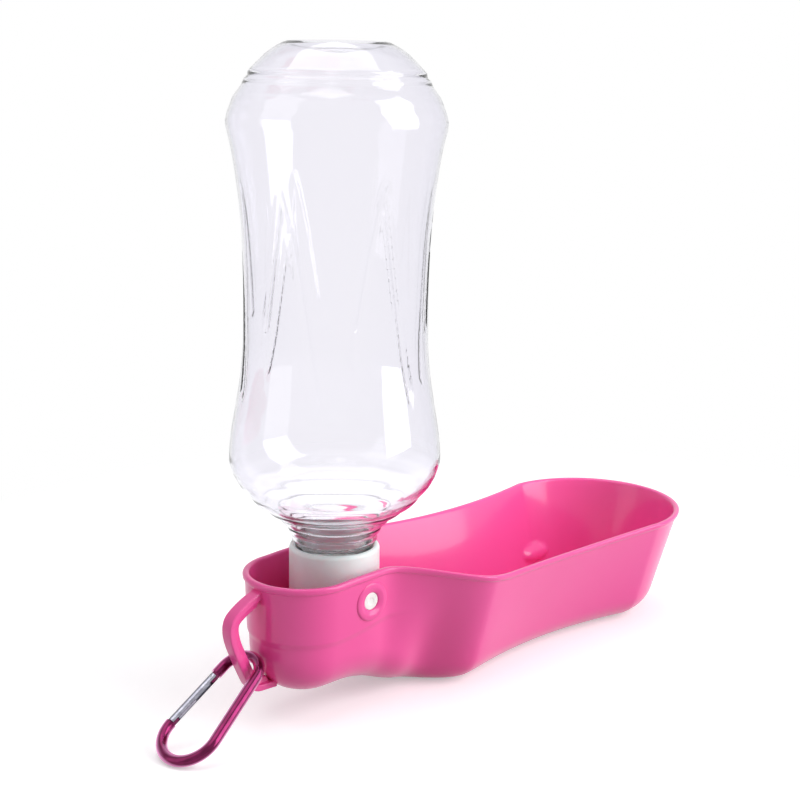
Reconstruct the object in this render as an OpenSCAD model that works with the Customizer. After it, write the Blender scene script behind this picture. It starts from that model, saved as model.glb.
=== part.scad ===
// Travel water bottle for a dog. A clear squeeze bottle hangs upside down in the neck of a
// moulded trough, held by two pivot pins in its cap, and folds down into the trough to be
// carried. A small spring-gate carabiner hangs in the loop at the neck end.
//
// Units are millimetres. The foot under the bowl stands on z = 0 and its middle is the origin.
// The bowl points to +X and the loop to -X, and the fold axis runs along Y.

/* [Trough plan] */
// Distance from the fold axis to the middle of the foot
foot_offset = 90; // [84:1:96]
// Reach of the bowl's end from the fold axis
bowl_reach = 177; // [174:1:186]
// Distance from the fold axis to where the bowl's round end begins
bowl_end_start = 138; // [130:1:142]
// Half width of the bowl at its rim
bowl_half = 37.8; // [37:0.2:42]
// How far each long side draws in at the middle of the bowl
waist_draw = 3.2; // [0:0.2:3.6]
// Reach of the neck's end from the fold axis
neck_reach = 34.6; // [33:0.2:40]
// Half width of the neck at its rim
neck_half = 20.3; // [20.2:0.1:23]
// Where the flare from neck to bowl begins, from the fold axis
flare_start = 6; // [5:0.5:8]
// Where the flare ends, from the fold axis
flare_end = 44; // [42:0.5:47]

/* [Trough section] */
// Rim height at the fold axis
neck_rim_z = 51.6; // [50:0.2:55]
// Rim height along the bowl
bowl_rim_z = 44.2; // [41:0.2:45]
// Height of the neck's underside over the table
neck_floor_z = 10; // [8:0.5:13]
// Wall thickness of the trough
trough_wall = 1.6; // [1.2:0.1:2]
// Floor thickness of the trough
floor_wall = 1.8; // [1.4:0.1:2.4]
// Side draft of the neck in degrees
neck_draft = 2; // [1:0.5:3]
// Side draft of the bowl in degrees
bowl_draft = 15; // [10:1:16]
// How much more the sides lean where the neck flares into the bowl, in degrees
flare_lean = 10.9; // [0:0.1:11]
// How much more the sides lean at the middle of the bowl, in degrees
waist_lean = 4.7; // [0:0.1:6]
// Radius between wall and floor under the neck
neck_fillet = 15; // [8:0.5:16]
// Radius between wall and floor under the bowl
bowl_fillet = 14; // [8:0.5:15]
// How far the rim bead stands out
bead_out = 0.7; // [0.4:0.1:1.2]
// Height of the rim bead
bead_h = 2.2; // [1.5:0.1:4]
// Height of the ledge on the neck's side walls
ledge_z = 29.8; // [28:0.2:33]
// Depth of that ledge
ledge_in = 0.6; // [0:0.1:0.8]
// Half width of the flat foot under the bowl
foot_half = 8; // [6:0.5:9]

/* [Fold axis] */
// Height of the fold axis
pivot_z = 41.3; // [40:0.1:43.5]
// Radius of the pivot pins
pin_r = 3.05; // [2.5:0.05:3.5]
// Radial clearance of a pin in the trough
pin_play = 0.05; // [0.02:0.01:0.09]
// Radius of the round boss outside each pin hole
boss_r = 7; // [6:0.1:7.5]
// How far that boss stands out of the wall
boss_out = 0.6; // [0.3:0.1:1.2]
// How far the pin's end lies below the boss
pin_recess = 0.7; // [0.3:0.1:1]
// How deep a pin sits in the cap
pin_grip = 5; // [4:0.2:7]

/* [Carry loop] */
// Width of the loop's strap
strap_w = 4.8; // [4:0.2:7]
// Thickness of the loop's strap
strap_t = 2.4; // [1.8:0.1:2.8]
// Width of the rib inside the strap
rib_w = 2.4; // [1.6:0.2:3.6]
// Height of the rib inside the strap
rib_t = 2.1; // [1:0.1:2.6]

/* [Cap] */
// Outside radius of the cap
cap_r = 15.6; // [15:0.1:15.8]
// Height of the cap's open rim over the fold axis
cap_up = 16; // [14:0.5:18]
// Reach of the spout below the fold axis
cap_down = 15.5; // [13.5:0.5:17]
// Skirt wall of the cap
cap_wall = 1.4; // [1:0.1:1.8]
// Thickness of the cap's web above the fold axis
web_up = 3.3; // [3.2:0.1:4]
// Thickness of the cap's web below the fold axis
web_down = 5.5; // [4:0.5:7]
// Radius of the water way through the web
way_r = 5; // [3:0.5:6]
// Outside radius of the spout
spout_r = 10.2; // [9:0.2:12]
// Bore radius of the spout
spout_bore_r = 8.2; // [7:0.2:8.4]
// Radius of the round lugs round the pins
lug_r = 5.4; // [4.5:0.1:6.5]
// How far the lugs stand out of the cap
lug_out = 1; // [0.4:0.1:1.4]

/* [Valve and seal] */
// Thickness of the sealing washer
washer_t = 1.5; // [1:0.1:2.5]
// Thickness of the slit valve
valve_t = 1.3; // [1:0.1:2]
// Width of the valve's slits
slit_w = 0.3; // [0.2:0.05:0.5]
// Height of the valve retainer
retainer_h = 2.6; // [2:0.1:3.5]
// Bore radius of the valve retainer
retainer_bore_r = 6; // [4:0.2:6.6]

/* [Bottle] */
// Outside radius of the screw neck
neck_r = 13.55; // [13:0.05:13.7]
// Bore radius of the screw neck
neck_bore_r = 10.85; // [10:0.05:11.5]
// Radius of the shoulder next to the neck
shoulder_r = 35.6; // [34:0.2:35.8]
// Height of that shoulder over the fold axis
shoulder_up = 47.5; // [46:0.5:52]
// Radius of the waist
waist_r = 30.6; // [28:0.2:32]
// Height of the waist over the fold axis
waist_up = 106; // [96:1:112]
// Radius of the ring near the base
top_ring_r = 36; // [34:0.2:36.4]
// Height of that ring over the fold axis
top_ring_up = 158; // [150:1:160]
// Height of the bottle's base over the fold axis
base_up = 183.5; // [182:0.5:184]
// Wall thickness of the bottle
bottle_wall = 0.8; // [0.5:0.1:1.2]

/* [Carabiner] */
// Length of the carabiner along the middle of its rod
clip_len = 43.2; // [42:0.1:45]
// Radius of the bend at the hinge end
clip_small_r = 7.4; // [7:0.1:7.8]
// Radius of the bend at the nose end
clip_big_r = 10.1; // [9.5:0.1:12]
// Radius of the rod
rod_r = 1.9; // [1.6:0.05:1.95]
// Radius of the gate
gate_r = 1.5; // [1.3:0.05:1.6]
// Radius of the gate's rivet
rivet_r = 0.6; // [0.5:0.05:0.7]
// Diameter of the gate's spring wire
wire_d = 0.6; // [0.4:0.05:0.8]

/* [Hidden] */
$fn = 64;

// Clearance between neighbouring pieces that don't touch
gap = 0.3;

// ---- Trough -----------------------------------------------------------------------------
neck_round_s = neck_half - neck_reach;      // centre of the neck's round end
foot_skin = 0.4;                            // how far the foot stands under the bowl
neck_dip = 3.4;                             // fall of the rim from fold axis to neck end
bowl_sag = 1.4;                             // fall of the rim at the middle of the bowl
neck_pinch = 0.8;                           // how far the sides draw in before the flare
ramp_start = -6;                            // where the underside starts down to the bowl
ramp_end = 34;                              // where the bowl's flat underside begins
flare_lean_at = 27.6;                       // where the flare's sides lean most
flare_lean_run = 10.3;                      // how far from there that lean fades
side_step = 5;                            // spacing of the sections along the sides
end_steps = 12;                             // sections round each end, per side
arc_steps = 6;                              // facets of the wall-to-floor radius
bump_len = 19;                              // length of a side bump in the bowl
bump_rise = 2.2;                            // how far a bump stands off the wall

function ease(t) = let (c = min(1, max(0, t))) c * c * (3 - 2 * c);
function mix(a, b, t) = a + (b - a) * t;
// Share of the way from neck to bowl at distance s from the fold axis
function flare(s) = ease((s - flare_start) / (flare_end - flare_start));
function bowl_mid() = (flare_end + bowl_end_start) / 2;
function sag(s) = max(0, 1 - pow((s - bowl_mid()) / (bowl_end_start - bowl_mid()), 2));
function neck_half_at(s) = neck_half - neck_pinch * exp(-pow((s - flare_start - 4) / 7, 2));
function half_at(s) = mix(neck_half_at(s), bowl_half - waist_draw * sag(s), flare(s));
function rim_at(s) = mix(
    neck_rim_z - neck_dip * pow(min(0, s - 3) / (neck_reach + 3), 2),
    bowl_rim_z - bowl_sag * sag(s), ease((s - 4) / (flare_end + 5)));
function floor_at(s) = mix(neck_floor_z, foot_skin, ease((s - ramp_start) / (ramp_end - ramp_start)));
function draft_at(s) = mix(neck_draft, bowl_draft, flare(s)) + waist_lean * sag(s)
    + flare_lean * exp(-pow((s - flare_lean_at) / flare_lean_run, 2));
function fillet_at(s) = mix(neck_fillet, bowl_fillet, flare(s));
function ledge_at(s) = ledge_in * (1 - ease((s - 2) / 16));

// Rim outline of the +Y side, from the neck's end to the bowl's end: [s, y, spine s]
function neck_end() = [for (i = [0:end_steps - 1]) let (a = 180 - 90 * i / end_steps)
    [neck_round_s + neck_half * cos(a), neck_half * sin(a), neck_round_s]];
function side_run() = let (
        run = bowl_end_start - neck_round_s, n = ceil(run / side_step))
    [for (i = [0:n - 1]) let (s = neck_round_s + run * i / n) [s, half_at(s), s]];
function bowl_end() = [for (i = [0:end_steps]) let (a = 90 - 90 * i / end_steps)
    [bowl_end_start + (bowl_reach - bowl_end_start) * cos(a), bowl_half * sin(a), bowl_end_start]];
half_outline = concat(neck_end(), side_run(), bowl_end());

// Section from the floor's edge up to just under the rim: [distance from spine, height].
// in is how far the surface lies inside the outer one, up is how far its floor is raised.
function section(s, reach, in, up) = let (
        d = draft_at(s), top = rim_at(s), low = floor_at(s) + up, r = fillet_at(s) - in,
        line = reach - bead_out - in / cos(d),
        led = ledge_at(s),
        foot = line - led - (top - low - r) * tan(d) - r / cos(d))
    concat(
        [for (k = [0:arc_steps]) let (a = -90 + (90 - d) * k / arc_steps)
            [foot + r * cos(a), low + r + r * sin(a)]],
        [[line - led - (top - ledge_z + 0.5) * tan(d), ledge_z - 0.5],
         [line - (top - ledge_z - 0.5) * tan(d), ledge_z + 0.5]]);
function outer_section(s, reach) = let (d = draft_at(s), top = rim_at(s)) concat(
    section(s, reach, 0, 0),
    [[reach - bead_out - bead_h * tan(d), top - bead_h],
     [reach, top - bead_h + 0.3], [reach, top - 0.6], [reach - 0.6, top]]);
function inner_section(s, reach) = let (top = rim_at(s), w = bead_out + trough_wall / cos(draft_at(s)))
    concat(section(s, reach, trough_wall, floor_wall), [[reach - w, top - 0.5], [reach - w + 0.4, top]]);

// A point of the section placed in plan, on the ray from the spine to the rim
function placed(o, p) = let (
        dx = o[0] - o[2], l = max(1e-6, norm([dx, o[1]])))
    [o[2] + dx * p[0] / l - foot_offset, o[1] * p[0] / l, p[1]];
function reach_of(o) = norm([o[0] - o[2], o[1]]);

module trough_shell() {
    n = len(half_outline);
    // the full ring: the +Y side forwards, then the -Y side backwards
    ring = concat(half_outline, [for (i = [n - 2:-1:1]) [half_outline[i][0], -half_outline[i][1],
        half_outline[i][2]]]);
    m = len(ring);
    rows = [for (o = ring) let (r = reach_of(o)) concat(
        outer_section(o[2], r), [for (p = inner_section(o[2], r)) p])];
    no = len(outer_section(0, 20));
    ni = len(inner_section(0, 20));
    w = no + ni;
    // order of the column: outer floor edge up to the rim, then inner rim down to the inner floor
    column = concat([for (k = [0:no - 1]) k], [for (k = [ni - 1:-1:0]) no + k]);
    pts = [for (i = [0:m - 1]) for (k = column) placed(ring[i], rows[i][k])];
    wall = [for (i = [0:m - 1]) let (j = (i + 1) % m) for (k = [0:w - 2])
        each [[i * w + k, j * w + k + 1, i * w + k + 1], [i * w + k, j * w + k, j * w + k + 1]]];
    // floor strips between each section and its mirror image
    under = [for (i = [1:n - 3]) let (a = i * w, b = (i + 1) * w, c = (m - i - 1) * w, d = (m - i) * w)
        each [[a, c, b], [a, d, c]]];
    over = [for (i = [1:n - 3]) let (a = i * w + w - 1, b = (i + 1) * w + w - 1,
            c = (m - i - 1) * w + w - 1, d = (m - i) * w + w - 1)
        each [[a, b, c], [a, c, d]]];
    ends = [
        [0, (m - 1) * w, w], [w - 1, 2 * w - 1, (m - 1) * w + w - 1],
        [(n - 1) * w, (n - 2) * w, n * w], [(n - 1) * w + w - 1, n * w + w - 1, (n - 2) * w + w - 1]
    ];
    polyhedron(points = pts, faces = concat(wall, under, over, ends), convexity = 8);
}

pin_hole_r = pin_r + pin_play;
wall_at_pivot = half_at(0) - bead_out - (neck_rim_z - pivot_z) * tan(neck_draft);
boss_face = wall_at_pivot + boss_out;

// The loop's middle line, from the rim out and back down to the neck's underside: a smooth
// curve that touches the middle of each side of this open polygon
loop_guide = [
    [-neck_reach + 1.6, neck_rim_z - 4.6], [-neck_reach - 4.9, neck_rim_z - 6.9],
    [-neck_reach - 12.8, neck_rim_z - 13.2], [-neck_reach - 5, neck_floor_z + 9.9],
    [-neck_reach - 2, neck_floor_z + 4.4], [-neck_reach + 4.6, neck_floor_z + 4.2],
    [-neck_reach + 9.6, neck_floor_z + 4]
];
loop_steps = 8;                             // points along each piece of that curve
loop_last = len(loop_guide) - 1;
function loop_knot(i) = i == 0 ? loop_guide[0] : i == loop_last - 1 ? loop_guide[loop_last]
    : (loop_guide[i] + loop_guide[i + 1]) / 2;
function loop_point(i, t) = pow(1 - t, 2) * loop_knot(i - 1) + 2 * t * (1 - t) * loop_guide[i]
    + t * t * loop_knot(i);
function loop_in(i, t) = let (
        d = (1 - t) * (loop_guide[i] - loop_knot(i - 1)) + t * (loop_knot(i) - loop_guide[i]))
    [-d[1], d[0]] / norm(d);

// Places along the loop's line, each a piece and how far along it, up to a place on the last
function loop_at(from, to) = concat([[1, from]],
    [for (i = [1:loop_last - 1]) for (k = [1:loop_steps]) let (t = k / loop_steps)
        if (i + t > 1 + from + 0.01 && i + t < loop_last - 1.01 + to) [i, t]],
    [[loop_last - 1, to]]);
function loop_side(at, off) = [for (q = at) loop_point(q[0], q[1]) + off * loop_in(q[0], q[1])];

// A strip along the loop's line, from offset a to offset b towards the neck. Each side ends at
// its own place, so that the end follows the slope of the neck's wall and lies inside it.
module loop_strip(a, b, w, from, to_a, to_b) {
    outer = loop_side(loop_at(from, to_a), a);
    inner = loop_side(loop_at(from, to_b), b);
    rotate([90, 0, 0]) linear_extrude(height = w, center = true)
        polygon(concat(outer, [for (j = [len(inner) - 1:-1:0]) inner[j]]));
}

module foot_pad() {
    from = ramp_end + foot_half + 1 - foot_offset;
    to = bowl_end_start + 8 - foot_offset;
    h = foot_skin + floor_wall / 2;
    for (x = [from, to]) translate([x, 0, 0]) cylinder(r = foot_half, h = h);
    translate([from, -foot_half, 0]) cube([to - from, 2 * foot_half, h]);
}

// Low bump on the bowl's side wall that the folded bottle rides over
module side_bump() {
    s = bowl_end_start + 2;
    z = 15.3;
    y = bowl_half - bead_out - trough_wall - (bowl_rim_z - z) * tan(bowl_draft);
    translate([s - foot_offset, y + 0.4, z]) rotate([0, 0, -4]) rotate([-bowl_draft, 0, 0])
        rotate([0, 90, 0]) rotate([0, 0, 180]) rotate_extrude(angle = 180, $fn = 24)
            polygon([for (i = [0:12]) let (a = -90 + 15 * i)
                [(bump_rise + 0.4) * cos(a), bump_len / 2 * sin(a)]]);
}

module trough() {
    color("hotpink") difference() {
        union() {
            trough_shell();
            foot_pad();
            translate([-foot_offset, 0, 0]) {
                loop_strip(-strap_t / 2, strap_t / 2, strap_w, 0, 1, 0.62);
                loop_strip(strap_t / 2 - 0.2, strap_t / 2 + rib_t, rib_w, 0.06, 0.4, 0.4);
            }
            for (side = [-1, 1])
                translate([-foot_offset, side * (wall_at_pivot - trough_wall / 2), pivot_z])
                    rotate([-90 * side, 0, 0]) cylinder(r = boss_r, h = boss_out + trough_wall / 2);
            side_bump();
            mirror([0, 1, 0]) side_bump();
        }
        translate([-foot_offset, 0, pivot_z]) rotate([90, 0, 0])
            cylinder(r = pin_hole_r, h = 2 * boss_face + 4, center = true);
    }
}

// ---- Bottle, measured up from the fold axis -----------------------------------------------
lip_up = web_up + washer_t;                 // the bottle's lip, on the washer
collar_up = cap_up + 1;                     // underside of the lowest shoulder ring
collar_r = neck_r + 0.35;                   // radius where the shoulder begins
ring_swell = 0.5;                           // how far each shoulder ring swells out
base_flat_r = 16;                           // radius of the flat base
base_edge_r = 29.4;                         // radius where the base's bevel begins
base_edge_up = base_up - 9.8;

// Outer profile as [radius, height]: five shoulder rings that widen like a bell, the round
// shoulder, then the long waist. The bell is drawn as shares of its width and height.
bell = [[0, 0], [0.02, 0.09], [0.1, 0.2], [0.26, 0.33], [0.5, 0.44], [0.72, 0.58], [0.87, 0.71],
    [0.96, 0.85]];
bell_points = [for (q = bell) [mix(collar_r, shoulder_r, q[0]), mix(collar_up, shoulder_up, q[1])]];
ring_profile = concat(
    [for (i = [0:4]) for (k = [0:3]) let (
            p = bell_points[i], d = bell_points[i + 1] - p, t = k / 4)
        p + t * d + ring_swell * sin(180 * t) * [d[1], -d[0]] / norm(d)],
    [for (i = [5:7]) bell_points[i]]);
low_waist = [for (k = [0:12]) let (t = 1 - k / 12)
    [mix(waist_r, shoulder_r, pow(t, 2.2)), mix(waist_up, shoulder_up, t)]];
high_waist = [for (k = [1:12]) let (t = k / 12)
    [mix(waist_r, top_ring_r, pow(t, 2)), mix(waist_up, top_ring_up, t)]];
crown = [
    [top_ring_r - 0.6, top_ring_up + 2.6], [top_ring_r - 1.2, top_ring_up + 5.2],
    [top_ring_r - 2.2, top_ring_up + 7.8], [base_edge_r + 2.2, top_ring_up + 10.2],
    [base_edge_r + 0.6, top_ring_up + 12], [base_edge_r - 0.2, base_edge_up - 1.6],
    [base_edge_r, base_edge_up], [base_flat_r + 9, base_up - 5.2], [base_flat_r + 5, base_up - 2.2],
    [base_flat_r + 2, base_up - 0.5], [base_flat_r, base_up]
];
bottle_profile = concat(
    [[neck_r, lip_up], [neck_r, collar_up - 0.3]], ring_profile, low_waist, high_waist, crown);

// The inner surface is the outer one moved in by the wall: inwards only along the waist,
// inwards and up at the shoulder rings, inwards and down at the crown
module bottle() {
    n = len(bottle_profile);
    rings_end = 2 + len(ring_profile);
    slant = 0.75 * bottle_wall;
    inside = [for (i = [n - 1:-1:3]) let (p = bottle_profile[i])
        i < rings_end ? [p[0] - slant, p[1] + slant]
        : i > n - 8 ? [p[0] - slant, p[1] - slant] : [p[0] - bottle_wall, p[1]]];
    color("aliceblue", 0.4) translate([-foot_offset, 0, pivot_z]) rotate_extrude()
        polygon(concat(bottle_profile, [[0, base_up - 2], [0, base_up - 2 - bottle_wall]], inside,
            [[neck_bore_r, collar_up + 0.9], [neck_bore_r, lip_up]]));
}

// ---- Cap and what it holds, measured from the fold axis -------------------------------------
cap_bore_r = neck_r + gap;
valve_seat = -cap_down + retainer_h + valve_t + 0.6;
valve_r = spout_bore_r - 0.1;
pin_end = boss_face - pin_recess;
pin_root = cap_r + lug_out - pin_grip;

module pivot_at() {
    translate([-foot_offset, 0, pivot_z]) children();
}

module cap() {
    color("white") pivot_at() difference() {
        union() {
            translate([0, 0, -web_down]) cylinder(r = cap_r, h = cap_up + web_down - 0.8);
            translate([0, 0, cap_up - 0.8]) cylinder(r1 = cap_r, r2 = cap_r - 0.6, h = 0.8);
            translate([0, 0, -cap_down]) cylinder(r = spout_r, h = cap_down);
            rotate([90, 0, 0]) cylinder(r = lug_r, h = 2 * (cap_r + lug_out), center = true);
        }
        translate([0, 0, web_up]) cylinder(r = cap_bore_r, h = cap_up);
        translate([0, 0, -cap_down - 1]) cylinder(r = way_r, h = cap_down + cap_up);
        translate([0, 0, -cap_down - 1]) cylinder(r = spout_bore_r, h = valve_seat + cap_down + 1);
        for (side = [-1, 1]) translate([0, side * pin_root, 0]) rotate([-90 * side, 0, 0])
            cylinder(r = pin_r, h = pin_grip + 1);
    }
}

module pivot_pin(side) {
    color("whitesmoke") pivot_at() translate([0, side * pin_root, 0]) rotate([-90 * side, 0, 0]) {
        cylinder(r = pin_r, h = pin_end - pin_root - 0.4);
        translate([0, 0, pin_end - pin_root - 0.4]) cylinder(r1 = pin_r, r2 = pin_r - 0.4, h = 0.4);
    }
}
module pivot_pin_left() { pivot_pin(1); }
module pivot_pin_right() { pivot_pin(-1); }

module sealing_washer() {
    color("gainsboro") pivot_at() translate([0, 0, web_up]) difference() {
        cylinder(r = cap_bore_r - gap, h = washer_t);
        translate([0, 0, -1]) cylinder(r = way_r + 2.5, h = washer_t + 2);
    }
}

module slit_valve() {
    color("lightgray") pivot_at() translate([0, 0, valve_seat - valve_t]) difference() {
        cylinder(r = valve_r, h = valve_t);
        for (a = [0, 90]) rotate([0, 0, a]) translate([-retainer_bore_r + 1, -slit_w / 2, -1])
            cube([2 * retainer_bore_r - 2, slit_w, valve_t + 2]);
    }
}

module valve_retainer() {
    color("snow") pivot_at() translate([0, 0, -cap_down]) difference() {
        cylinder(r = spout_bore_r, h = valve_seat - valve_t + cap_down);
        translate([0, 0, -1]) cylinder(r = retainer_bore_r, h = retainer_h + cap_down);
    }
}

// ---- Carabiner, drawn flat: X along its length, the gate on the -Y side ---------------------
clip_tilt = 31.9;                           // how steeply it leans from the loop to the table
clip_turn = 188.2;                          // its heading in plan
clip_top = [-neck_reach - 0.7, 1.3];        // middle of its top bend, from the fold axis
clip_top_z = rod_r + clip_len * sin(clip_tilt);
big_x = clip_len - clip_big_r;
lean = asin((clip_big_r - clip_small_r) / (big_x - clip_small_r));
gate_dir = [cos(lean), -sin(lean)];         // along the gate side, from hinge end to nose
gate_out = [-sin(lean), -cos(lean)];        // outwards from the gate side
gate_side_start = [clip_small_r, 0] + clip_small_r * gate_out;
gate_side_len = (big_x - clip_small_r) * cos(lean);
stub_len = 3.4;                             // rod between the small bend and the gate's fork
fork_end = 1.4;                             // reach of the fork behind the rivet
fork_room = fork_end + 1.1;                 // where the round rod ends, for the fork to swing
hinge_at = gate_side_start + (stub_len + fork_room) * gate_dir;
nose_gap = 0.4;                             // gap between the shut gate and the nose
gate_len = gate_side_len - stub_len - fork_room - nose_gap;
nose_bite = 2;                              // reach of the nose's tongue into the gate
slot_len = 9;                               // length of the gate's slot from the hinge
tongue_r = 1.3;                             // half width of both tongues
tongue_t = 1.3;                             // thickness of both tongues
slot_play = 0.15;                           // side clearance of a tongue in its slot
hinge_play = 0.05;                          // radial clearance of the rivet in the tongue
joint_over = 0.3;                           // overlap where a straight rod meets a bend
straight_r = rod_r + 0.04;                  // the straight rods are a hair thicker than the bends

module clip_place() {
    translate([clip_top[0] - foot_offset, clip_top[1], clip_top_z])
        rotate([0, clip_tilt, clip_turn]) children();
}

// A straight rod that reaches a little past both its ends, into what it joins
module rod(from, to, r, over = 0) {
    d = to - from;
    translate([from[0], from[1], 0]) rotate([0, 0, atan2(d[1], d[0])]) rotate([0, 90, 0])
        translate([0, 0, -over]) cylinder(r = r, h = norm(d) + 2 * over, $fn = 32);
}

module bend(centre, radius, a0, a1) {
    translate([centre, 0, 0]) rotate([0, 0, a0]) rotate_extrude(angle = a1 - a0, $fn = 48)
        translate([radius, 0]) circle(r = rod_r, $fn = 32);
}

// A flat bar along the gate side, from distance a to distance b past the hinge
module gate_bar(a, b, width, thick) {
    translate([hinge_at[0], hinge_at[1], 0]) rotate([0, 0, -lean])
        translate([a, -width / 2, -thick / 2]) cube([b - a, width, thick]);
}

module at_hinge() {
    translate([hinge_at[0], hinge_at[1], 0]) children();
}

module carabiner_body() {
    spine_out = [-sin(lean), cos(lean)];
    color("mediumvioletred") clip_place() difference() {
        union() {
            bend(clip_small_r, clip_small_r, 90 + lean, 270 - lean);
            bend(big_x, clip_big_r, -90 - lean, 90 + lean);
            rod([clip_small_r, 0] + clip_small_r * spine_out, [big_x, 0] + clip_big_r * spine_out,
                straight_r, joint_over);
            rod(gate_side_start, hinge_at - fork_room * gate_dir, straight_r, joint_over);
            gate_bar(-fork_room - joint_over - 1, 0, 2 * tongue_r, tongue_t);
            at_hinge() cylinder(r = tongue_r, h = tongue_t, center = true, $fn = 32);
            gate_bar(gate_len - nose_bite, gate_len + nose_gap + 1, 2 * tongue_r, tongue_t);
        }
        at_hinge() cylinder(r = rivet_r + hinge_play, h = 2 * rod_r + 2, center = true, $fn = 32);
    }
}

module carabiner_gate() {
    color("silver") clip_place() difference() {
        rod(hinge_at - fork_end * gate_dir, hinge_at + gate_len * gate_dir, gate_r);
        gate_bar(-fork_end - 1, slot_len, 2 * gate_r + 2, tongue_t + 2 * slot_play);
        gate_bar(gate_len - nose_bite - gap, gate_len + 1, 2 * gate_r + 2, tongue_t + 2 * slot_play);
        at_hinge() cylinder(r = rivet_r, h = 2 * gate_r + 2, center = true, $fn = 32);
    }
}

module gate_rivet() {
    color("gray") clip_place() at_hinge()
        cylinder(r = rivet_r, h = 2 * gate_r - 0.2, center = true, $fn = 32);
}

module gate_spring() {
    color("dimgray") clip_place()
        rod(hinge_at + (tongue_r + gap) * gate_dir, hinge_at + (slot_len - 0.1) * gate_dir, wire_d / 2);
}

trough();
bottle();
cap();
pivot_pin_left();
pivot_pin_right();
sealing_washer();
slit_valve();
valve_retainer();
carabiner_body();
carabiner_gate();
gate_rivet();
gate_spring();
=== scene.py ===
"""Dresses the dog travel water bottle: a clear squeeze bottle in a pink folding trough.

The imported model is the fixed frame. The trough, bottle, cap and pins are rebuilt here as fine
meshes from the same sizes, and each rides on its own body. The carabiner with its gate, rivet and
spring, the washer, the valve and the valve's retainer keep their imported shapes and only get
materials. Lengths are in millimetres until a mesh is made; lamps and the floor's fade are in
metres.
"""

from __future__ import annotations

import logging
import math
from dataclasses import dataclass
from enum import Enum
from typing import Iterable, Sequence

import bmesh
import bpy
import numpy as np
from mathutils import Matrix, Vector

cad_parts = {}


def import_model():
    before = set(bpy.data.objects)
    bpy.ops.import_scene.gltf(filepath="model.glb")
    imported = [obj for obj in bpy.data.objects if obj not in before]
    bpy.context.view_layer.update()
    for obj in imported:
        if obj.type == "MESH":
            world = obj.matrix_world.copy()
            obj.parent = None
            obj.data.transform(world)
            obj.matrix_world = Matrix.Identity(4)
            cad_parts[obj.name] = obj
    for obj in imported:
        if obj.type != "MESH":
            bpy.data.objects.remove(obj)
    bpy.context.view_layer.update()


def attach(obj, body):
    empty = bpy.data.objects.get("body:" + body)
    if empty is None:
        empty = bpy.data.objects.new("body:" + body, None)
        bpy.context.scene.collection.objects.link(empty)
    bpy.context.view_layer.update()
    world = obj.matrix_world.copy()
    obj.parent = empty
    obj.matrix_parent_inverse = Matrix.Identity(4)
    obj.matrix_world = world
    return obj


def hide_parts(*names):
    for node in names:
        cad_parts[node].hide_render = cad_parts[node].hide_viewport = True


LOG = logging.getLogger("travel_bottle")
MM = 0.001
WELD = 1e-6  # points closer than this, in metres, are one point
Array = np.ndarray
Faces = Array | Sequence[Sequence[int]]
Pair = tuple[float, float]
Triple = tuple[float, float, float]
Table = tuple[Pair, ...]
Socket = bpy.types.NodeSocket
Material = bpy.types.Material


class Body(str, Enum):
    """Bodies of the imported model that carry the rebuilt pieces."""

    TROUGH = "trough"
    CAP = "cap"
    BOTTLE = "bottle"


class Slot(str, Enum):
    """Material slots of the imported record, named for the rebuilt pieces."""

    TROUGH = "trough_plastic"
    BOTTLE = "bottle_plastic"
    CAP = "cap_plastic"
    PIN = "pin_plastic"


# ---- Colour and materials ----

BLACK, WHITE = (0, 0, 0, 1), (1, 1, 1, 1)
NOISE_SPAN = (0.3, 0.7)  # nearly all values of a noise texture lie between these
MOTTLE_SPAN = (0.38, 0.62)  # noise values between which the shade turns into the colour
PAINTED_REFLECTION_SPAN = (0.3, 0.6)  # how far a metal is turned away where the painted reflection at its sides comes in
COAT_ROUGHNESS = 0.1
LIGHT_TRAVEL = (1.0, 0.6, 0.6)  # how far red, green and blue get in a plastic, in proportion
AMBIENT_COLOUR = "#FBFCFF"
SEEN_RAYS = ("Is Camera Ray", "Is Glossy Ray", "Is Transmission Ray")


def linear(code: str) -> tuple[float, float, float, float]:
    """Turns an sRGB hex code into Blender's linear colour.

    Args:
        code: six hex digits, with or without a leading '#'.

    Returns:
        Linear red, green, blue and an alpha of one.
    """
    part = np.array([int(code.lstrip("#")[i : i + 2], 16) for i in (0, 2, 4)]) / 255.0
    flat = np.where(part <= 0.04045, part / 12.92, ((part + 0.055) / 1.055) ** 2.4)
    return (float(flat[0]), float(flat[1]), float(flat[2]), 1.0)


@dataclass(frozen=True)
class Finish:
    """How one real material looks.

    Attributes:
        name: name of the Blender material.
        colour: sRGB hex code of the plain colour.
        shade: sRGB hex code that the mottling leans to.
        mottle: size of the mottling in millimetres.
        roughness: lowest and highest roughness.
        grain: size of the surface grain in millimetres.
        relief: height of that grain in millimetres, or zero for a polished mould.
        metallic: one for bare or anodised metal.
        subsurface: share of light that travels through the plastic.
        depth: how far it travels, in millimetres.
        coat: strength of a clear gloss coat.
        edge: sRGB hex code of the painted reflection that a metal turns to at its sides (light on
            the rod, dark on the gate), or nothing.
        shine: specular level, where 0.5 is a plain moulding's gloss.
    """

    name: str
    colour: str
    shade: str
    mottle: float
    roughness: Pair
    grain: float
    relief: float
    metallic: float = 0.0
    subsurface: float = 0.0
    depth: float = 1.0
    coat: float = 0.0
    edge: str = ""
    shine: float = 0.5


# Injection-moulded polypropylene, dyed pink, with a satin gloss
TROUGH_PP = Finish("trough_polypropylene", "#F0549F", "#EF529D", 30.0, (0.28, 0.31), 8.0, 0.0,
                   coat=0.4, shine=0.22)
# White moulded polypropylene: slightly creamy, and light gets some way into it
CAP_PP = Finish("cap_polypropylene", "#FBF6F3", "#F8F2EF", 6.0, (0.36, 0.46), 0.6, 0.004,
                subsurface=0.8, depth=7.0)
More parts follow.
